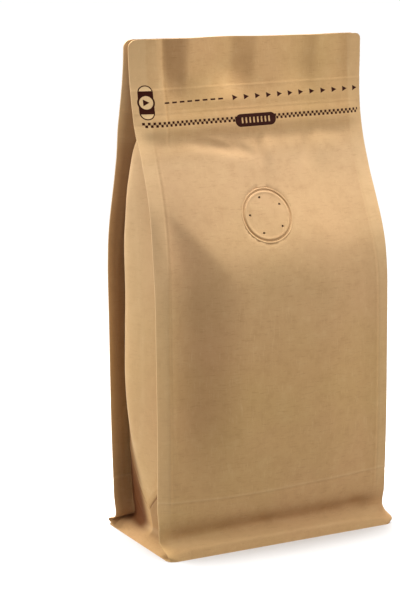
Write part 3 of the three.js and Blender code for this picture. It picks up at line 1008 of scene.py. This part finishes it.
def kraft_paper(name, printed):
    """Kraft paper, paler with wear and painted highlights. The bag's has painted shade and print, the
    valve's painted shade in its pin pricks.
    """
    finish = Finish(name)
    place = Place(finish)
    colour = kraft_colour(finish, place)
    # Paler where worn, and painted highlights on the lip's crest, the header's strip and the seals.
    colour = finish.blend(colour, FIBRE_PALE, (finish.attribute("wear_and_highlight") * WEAR_AND_HIGHLIGHT_PALENESS).clipped())
    if printed:
        # Painted shade, multiplied in as a share of DEEP_TONE.
        colour = finish.blend(colour, DEEP_TONE, finish.attribute("painted_shade"), "MULTIPLY")
        on_front_face = finish.attribute("printed")
        ink, pale = print_masks(place)
        speckle = finish.noise(place.point, 1.9)
        cover = (ink * on_front_face * (INK_COVER - speckle * INK_SPECKLE)).clipped()
        colour = finish.blend(colour, FIBRE_PALE, pale * on_front_face * TAB_PALENESS)
        colour = finish.blend(colour, INK, cover)
    else:
        # Painted shade: the pin pricks are dark where each hole is.
        colour = finish.blend(colour, INK, finish.attribute("pin_shade"))
    bump = finish.node("ShaderNodeBump", {}, {"Strength": 0.55, "Distance": FELT_HEIGHT,
                                              "Height": kraft_grain(finish, place)})
    felt = finish.noise(place.point, 0.3, 3.0)
    finish.surface({"Base Color": colour, "Roughness": felt * 0.16 + 0.54, "IOR": 1.45, "Normal": bump,
                    "Specular IOR Level": 0.1, "Sheen Weight": 0.02, "Sheen Roughness": 0.5})
    print(f"{name}: {len(finish.tree.nodes)} nodes")
    return finish.material


# %% [markdown]
# ## Painted shade, painted highlights and wear
#
# The lips, pockets and pleats of a paper bag hold a brown shade, because what
# light gets in there has bounced off paper and left its blue behind. Lights that
# are as broad as a studio's wash some of that shade away, so it is painted here as
# a share of `DEEP_TONE` at each point. Handling does the opposite: it rubs the
# folds and free edges pale. The lip's crest, the header's turned strip and the
# seals are painted pale as highlights. A texture painted by hand would do for one
# bag, but a formula on the same lines as the relief stays in step with every
# change of form.

# %% Where the paper holds shade
# A share of 0 leaves the paper's colour as it is, and 1 multiplies it by DEEP_TONE.
SEAL_BACK_SHADE = 0.43  # the back of a seal, away from its free edge
FRONT_ROOT_SHADE = 0.42  # the gusset beside the front seal
FRONT_WEB_SHADE = 0.36  # the front web under the slanted seal
SLANT_SHADE = 0.4  # a line just under the slanted seal
SLANT_LINE_DROP, SLANT_LINE_WIDTH = 2.2, 1.4
WEB_CREASE_SHADE = 0.6
REAR_ROOT_SHADE = 0.46
REAR_FOOT_SHADE = 0.95  # the pocket behind the crease, at the foot
REAR_FOOT_STARTS = (84, 30)
FLANK_SHADE_MOST = 0.21  # the hollow below the left shoulder
FLANK_SHADE_REACH = 2.2
WAVE_SHADE_MOST = 0.26  # the left flank of each header wave
WAVE_SHADE_GAIN, CREASE_SHADE_GAIN = 0.85, 0.55
ABOVE_LIP_SHADE = 0.27  # the hollow above the lip
ABOVE_LIP_Z, ABOVE_LIP_WIDTH = 11.8, 5.5
HEADER_EASES = (200, 250)  # over these heights, a shade deeper than DEEP_FROM
DEEP_FROM, HEADER_EASED = 0.45, 0.5  # loses the share HEADER_EASED


def above_lip_shade(x, z):
    """A bell of the height above the lip, cut off at the lip's crest and at the corners."""
    bell = ABOVE_LIP_SHADE * hump(z - ABOVE_LIP_Z, ABOVE_LIP_WIDTH)
    return bell * soft_step(6.2, 9, z) * soft_step(66, 56, np.abs(x))


def front_shade(x, z):
    """The shade below the break, on the left of each header wave, and above the lip."""
    rise = (header_wave(x + 0.5, z) - header_wave(x - 0.5, z)) * soft_step(-52, -49, x)
    gain = WAVE_SHADE_GAIN + CREASE_SHADE_GAIN * soft_step(-30, -40, x)
    below = FLANK_SHADE_MOST * through(FLANK_SHADE, x) * below_break(x, z, FLANK_SHADE_REACH)
    return below + gain * np.clip(rise, 0, WAVE_SHADE_MOST) + above_lip_shade(x, z)


def side_shade():
    """The shade on one side: seal back, front half of the gusset, rear half, seal back."""
    share, line = SHARES, LEVELS - WEB_SEAL_Z
    seal_back = SEAL_BACK_SHADE * soft_step(0, 0.4, SEAL_STEPS) + 0 * LEVELS
    web = FRONT_WEB_SHADE * soft_step(0, -3, line) * soft_step(0, 0.05, share)
    front = np.maximum(FRONT_ROOT_SHADE * soft_step(0.6, 1, share), web)
    slant = SLANT_SHADE * hump(line + SLANT_LINE_DROP, SLANT_LINE_WIDTH) * soft_step(1, 0.9, share)
    front = front + slant + WEB_CREASE_SHADE * web_crease(LEVELS, share)
    foot = REAR_FOOT_SHADE * soft_step(0, 0.45, share) * soft_step(*REAR_FOOT_STARTS, LEVELS)
    rear = np.maximum(REAR_ROOT_SHADE * soft_step(0.2, 0.7, share), foot)[:, :-1]
    return np.concatenate([seal_back, front, rear[:, ::-1], seal_back[:, ::-1]], axis=1)


def shaded_places():
    """The share of shade at each point of the skin, in the order of its strips."""
    side = side_shade()
    rings = np.concatenate([front_shade(FRONT_X, LEVELS), side,
                            above_lip_shade(REAR_X, LEVELS), side[:, ::-1]], axis=1)
    eased = 1 - HEADER_EASED * soft_step(*HEADER_EASES, LEVELS) * (rings > DEEP_FROM)
    return np.clip(rings, 0, 1) * soft_step(1, 6, LEVELS) * eased


# %% Where the paper is worn, and where highlights are painted
FREE_EDGE_WEAR = 0.25
FOLD_WEAR = 0.45
# Paler along the tear tape's upper line
TAPE_LINE_PALENESS = 0.08
# A painted highlight along the lip's crest, and the height of its line
LIP_CREST_HIGHLIGHT = 0.6
LIP_HIGHLIGHT_Z = 6.0
STRIP_HIGHLIGHT = 0.3  # painted highlight on the turned strip of the header
SEAL_HIGHLIGHT = 0.4  # painted highlight on all outside the seals' pressed lines, gussets too


def wear_and_highlight_places(points):
    """How pale each point is: wear along the free edges and the bottom fold, a paler tear tape line, and
    painted highlights on the lip's crest, the header's strip and the seals.
    """
    x, z = points[..., 0], points[..., 2]
    free_edge = FREE_EDGE_WEAR * hump(np.abs(x) - HALF_WIDTH, 0.4) * soft_step(4, 12, z)
    fold = FOLD_WEAR * hump(z - through(FOLD_LINE_Z, x), 0.5)
    tape = TAPE_LINE_PALENESS * hump(z - TAPE_HIGH - x * ZIP_CLIMB + 0.4, 0.5)
    lip = LIP_CREST_HIGHLIGHT * hump(z - LIP_HIGHLIGHT_Z, 1.5) * soft_step(67, 60, np.abs(x))
    on_strip = soft_step(0.6, -0.6, x - through(GUSSET_FOLD_X, z))
    strip = STRIP_HIGHLIGHT * soft_step(206, 216, z) * on_strip
    on_seal = soft_step(-0.6, 0.6, np.abs(x) - through(SEAL_INNER_X, z))
    seal = SEAL_HIGHLIGHT * on_seal * soft_step(*SEAL_STARTS, z)
    return np.clip(free_edge + fold + tape + lip + strip + seal, 0, 1)


# %% Make the bag
def set_attribute(piece, name, values):
    """Stores one number for each point of the piece, for its material to read."""
    layer = piece.data.attributes.new(name, "FLOAT", "POINT")
    layer.data.foreach_set("value", np.ascontiguousarray(values, dtype=np.float32).ravel())


bag_points = with_hanging_edge(with_valve_seat(bag_skin()))
bag_faces = closed_faces(*bag_points.shape[:2])
bag = make_piece("kraft_bag", bag_points, bag_faces, kraft_paper("kraft_paper", printed=True))
set_attribute(bag, "printed", on_front_strip(bag_points))
set_attribute(bag, "wear_and_highlight", wear_and_highlight_places(bag_points))
set_attribute(bag, "painted_shade", shaded_places())
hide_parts("bag")
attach(bag, "root")

# %% Make the valve's round
round_points, round_faces, to_pin, fine_rings = pressed_round()
valve = make_piece("valve_round", round_points, round_faces, kraft_paper("kraft_valve", printed=False))
# Painted shade in the pin pricks.
pin_shade = np.zeros(round_points.shape[:2])
pin_shade[:fine_rings] = soft_step(PIN_RADIUS * 1.25, PIN_RADIUS * 0.75, to_pin)
set_attribute(valve, "pin_shade", pin_shade)
set_attribute(valve, "wear_and_highlight", np.zeros(round_points.shape[:2]))
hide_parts("valve")
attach(valve, "root")

# %% [markdown]
# ## Camera
#
# A product portrait uses a long lens from a little above, so that the upright
# edges stay almost parallel. The camera sits a metre away, in front and to the
# left, and looks down by eleven degrees.

# %% Camera
CAMERA_TARGET = Vector((-13.52, 30.05, 119.43)) * MM
CAMERA_DISTANCE = 1.0
CAMERA_AZIMUTH = np.radians(-27.206)
CAMERA_ELEVATION = np.radians(11.125)
CAMERA_ROLL = np.radians(-0.616)
SENSOR = 36
LENS = 111


def direction(azimuth, elevation):
    """Unit vector from the bag: azimuth 0 is in front of it, and positive is to its right."""
    return Vector((np.sin(azimuth) * np.cos(elevation), -np.cos(azimuth) * np.cos(elevation),
                   np.sin(elevation)))


def make_camera():
    """The camera, with its axes built from the direction that it looks back along."""
    data = bpy.data.cameras.new("camera")
    data.lens, data.sensor_width = LENS, SENSOR
    data.clip_start, data.clip_end = 0.01, 100
    camera = new_object("camera", data)
    back = direction(CAMERA_AZIMUTH, CAMERA_ELEVATION)
    right = Vector((0, 0, 1)).cross(back).normalized()
    level = Matrix((right, back.cross(right), back)).transposed()
    camera.matrix_world = (Matrix.Translation(CAMERA_TARGET + back * CAMERA_DISTANCE)
                           @ (level @ Matrix.Rotation(CAMERA_ROLL, 3, "Z")).to_4x4())
    bpy.context.scene.camera = camera
    return camera


camera = make_camera()
print(f"camera at {tuple(round(v, 3) for v in camera.matrix_world.translation)}")

# %% [markdown]
# ## Light and floor
#
# A white room lights the bag softly from everywhere, and a skylight high up
# behind it brings out the shoulders and the lip. A low light from the left and a
# little behind makes the seals and the pleated side bright and the header's waves
# show, and a weaker one from the right opens the shadows. Three softboxes close
# by brighten what far lights leave flat: the shoulders, the right of the front
# and the low left. The floor is plain and pale. The paper's diffuse rays pass
# through it, so from below the bag gets the room's even light and no glare.

# %% Lights
SOFTBOX_AIM = Vector((0, 0, 0.14))


def make_light(name, kind, place, towards, power):
    """A light at a place in metres, which shines the opposite way to the vector towards it."""
    data = bpy.data.lights.new(name, kind)
    data.energy = power
    light = new_object(name, data)
    light.location = place
    light.rotation_mode = "QUATERNION"
    light.rotation_quaternion = towards.to_track_quat("Z", "Y")
    print(f"{name}: {power} from {tuple(round(v, 2) for v in towards)}")
    return data


def make_sun(name, azimuth, elevation, strength, softness):
    """Light from far away in a given direction, with its softness as an angle in degrees."""
    towards = direction(np.radians(azimuth), np.radians(elevation))
    data = make_light(name, "SUN", towards, towards, strength)
    data.angle = np.radians(softness)


def make_softbox(name, place, power, size):
    """A square light close to the bag, in metres and watts, turned to the bag's middle."""
    data = make_light(name, "AREA", place, Vector(place) - SOFTBOX_AIM, power)
    data.shape, data.size = "SQUARE", size


make_sun("skylight", azimuth=180, elevation=75, strength=2.1, softness=26)
make_sun("left_light", azimuth=-98, elevation=12, strength=0.92, softness=20)
make_sun("right_light", azimuth=70, elevation=25, strength=0.34, softness=18)
make_softbox("top_softbox", (0, 0.1, 0.6), power=5.2, size=0.3)
make_softbox("right_softbox", (0.3, -0.35, 0.4), power=0.8, size=0.25)
make_softbox("low_left_softbox", (-0.48, 0.16, 0.1), power=0.52, size=0.2)

# %% The room
ROOM_STRENGTH = 0.54

world = bpy.data.worlds.new("studio")
world.use_nodes = True
backdrop = world.node_tree.nodes["Background"]
backdrop.inputs["Color"].default_value = (1, 1, 1, 1)
backdrop.inputs["Strength"].default_value = ROOM_STRENGTH
bpy.context.scene.world = world
bpy.context.scene.view_settings.view_transform = "Standard"


# %% Floor
FLOOR_HALF = 30.0


def make_floor():
    """A wide pale sheet that the bag stands on."""
    mesh = bpy.data.meshes.new("floor")
    corners = [(-1, -1), (1, -1), (1, 1), (-1, 1)]
    mesh.from_pydata([(x * FLOOR_HALF, y * FLOOR_HALF, 0) for x, y in corners], [], [(0, 1, 2, 3)])
    finish = Finish("pale_floor")
    finish.surface({"Base Color": (0.8, 0.8, 0.8, 1), "Roughness": 0.8, "Specular IOR Level": 0.2})
    mesh.materials.append(finish.material)
    floor = new_object("floor", mesh)
    floor.visible_diffuse = False


make_floor()
